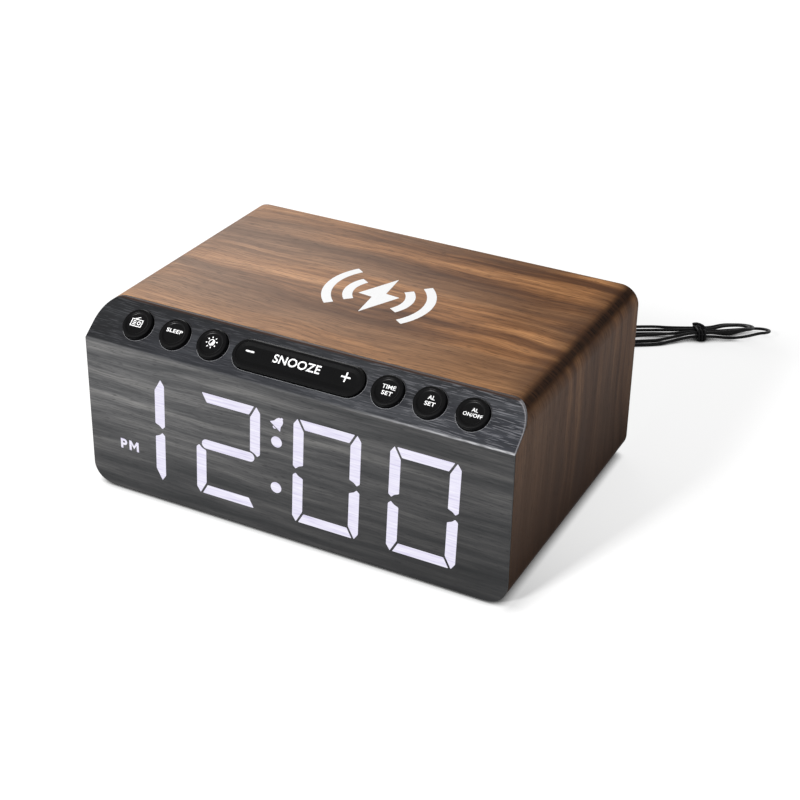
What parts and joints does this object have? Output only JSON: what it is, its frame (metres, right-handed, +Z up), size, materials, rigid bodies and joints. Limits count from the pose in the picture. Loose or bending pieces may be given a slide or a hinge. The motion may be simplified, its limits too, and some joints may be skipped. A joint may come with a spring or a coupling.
{
  "type": "led clock radio",
  "caption": "Bedside LED clock radio with a wood-wrapped case, keys along a sloping front edge, a charging top and a wire aerial tied in a hank behind it.",
  "frame": {"origin": "on the table, under the middle of the case", "axes": "+X to the right along the row of keys, +Y to the back, +Z up"},
  "size_m": [0.2079, 0.263, 0.077],
  "materials": {
    "walnut_wrap": "satin walnut-pattern foil on board",
    "grey_wood_film": "satin dark grey wood-pattern film on a moulding",
    "key_plastic": "satin black",
    "black_plastic": "fine texture",
    "white_plastic": "matte",
    "circuit_board": "solder mask",
    "steel": "plated",
    "copper": "enamelled wire",
    "ferrite": "dark grey ceramic",
    "cone_paper": "pressed paper",
    "block_wood": "bare",
    "foot_rubber": "matte",
    "wire_jacket": "satin"
  },
  "bodies": {
    "case": {"housing_sleeve": "walnut_wrap", "front_panel": "grey_wood_film", "back_cover": "black_plastic", "foot_1": "foot_rubber", "foot_2": "foot_rubber", "foot_3": "foot_rubber", "foot_4": "foot_rubber", "corner_block_1": "block_wood", "corner_block_2": "block_wood", "corner_block_3": "block_wood", "corner_block_4": "block_wood", "cover_screw_1": "steel", "cover_screw_2": "steel", "cover_screw_3": "steel", "cover_screw_4": "steel", "display_diffuser": "white_plastic", "display_mask": "black_plastic", "lamp_board": "circuit_board", "lamp_board_screw_1": "steel", "lamp_board_screw_2": "steel", "key_board": "circuit_board", "key_board_screw_1": "steel", "key_board_screw_2": "steel", "radio_switch": "black_plastic", "sleep_switch": "black_plastic", "dimmer_switch": "black_plastic", "time_set_switch": "black_plastic", "alarm_set_switch": "black_plastic", "alarm_on_off_switch": "black_plastic", "minus_switch": "black_plastic", "snooze_switch": "black_plastic", "plus_switch": "black_plastic", "main_board": "circuit_board", "main_board_screw_1": "steel", "main_board_screw_2": "steel", "charge_socket": "steel", "power_jack": "black_plastic", "speaker_frame": "steel", "speaker_cone": "cone_paper", "speaker_magnet": "ferrite", "charging_coil": "copper", "ferrite_sheet": "ferrite", "battery_holder": "black_plastic", "coin_cell": "steel", "antenna_grommet": "foot_rubber", "antenna_lead": "wire_jacket", "antenna_hank": "wire_jacket", "hank_tie": "wire_jacket"},
    "radio_key": {"radio_button": "key_plastic"},
    "sleep_key": {"sleep_button": "key_plastic"},
    "dimmer_key": {"dimmer_button": "key_plastic"},
    "time_set_key": {"time_set_button": "key_plastic"},
    "alarm_set_key": {"alarm_set_button": "key_plastic"},
    "alarm_on_off_key": {"alarm_on_off_button": "key_plastic"},
    "snooze_post": {"snooze_plunger": "white_plastic"},
    "snooze_key": {"snooze_bar": "key_plastic"},
    "battery_lid": {"battery_door": "black_plastic"}
  },
  "joints": [
    {"name": "radio_press", "type": "slide", "parent": "case", "child": "radio_key", "axis": [0, 0.6204, -0.7843], "range_m": [0, 0.0006], "stiffness_N_per_m": 600},
    {"name": "sleep_press", "type": "slide", "parent": "case", "child": "sleep_key", "axis": [0, 0.6204, -0.7843], "range_m": [0, 0.0006], "stiffness_N_per_m": 600},
    {"name": "dimmer_press", "type": "slide", "parent": "case", "child": "dimmer_key", "axis": [0, 0.6204, -0.7843], "range_m": [0, 0.0006], "stiffness_N_per_m": 600},
    {"name": "time_set_press", "type": "slide", "parent": "case", "child": "time_set_key", "axis": [0, 0.6204, -0.7843], "range_m": [0, 0.0006], "stiffness_N_per_m": 600},
    {"name": "alarm_set_press", "type": "slide", "parent": "case", "child": "alarm_set_key", "axis": [0, 0.6204, -0.7843], "range_m": [0, 0.0006], "stiffness_N_per_m": 600},
    {"name": "alarm_on_off_press", "type": "slide", "parent": "case", "child": "alarm_on_off_key", "axis": [0, 0.6204, -0.7843], "range_m": [0, 0.0006], "stiffness_N_per_m": 600},
    {"name": "snooze_press", "type": "slide", "parent": "case", "child": "snooze_post", "axis": [0, 0.6204, -0.7843], "range_m": [0, 0.0005], "stiffness_N_per_m": 800},
    {"name": "snooze_rock", "type": "hinge", "parent": "snooze_post", "child": "snooze_key", "pos_m": [0, -0.05323, 0.07091], "axis": [0, 0.7843, 0.6204], "range_deg": [-1, 1], "stiffness_Nm_per_rad": 0.4},
    {"name": "battery_door_pull", "type": "slide", "parent": "case", "child": "battery_lid", "axis": [0, 1, 0], "range_m": [0, 0.012]}
  ]
}
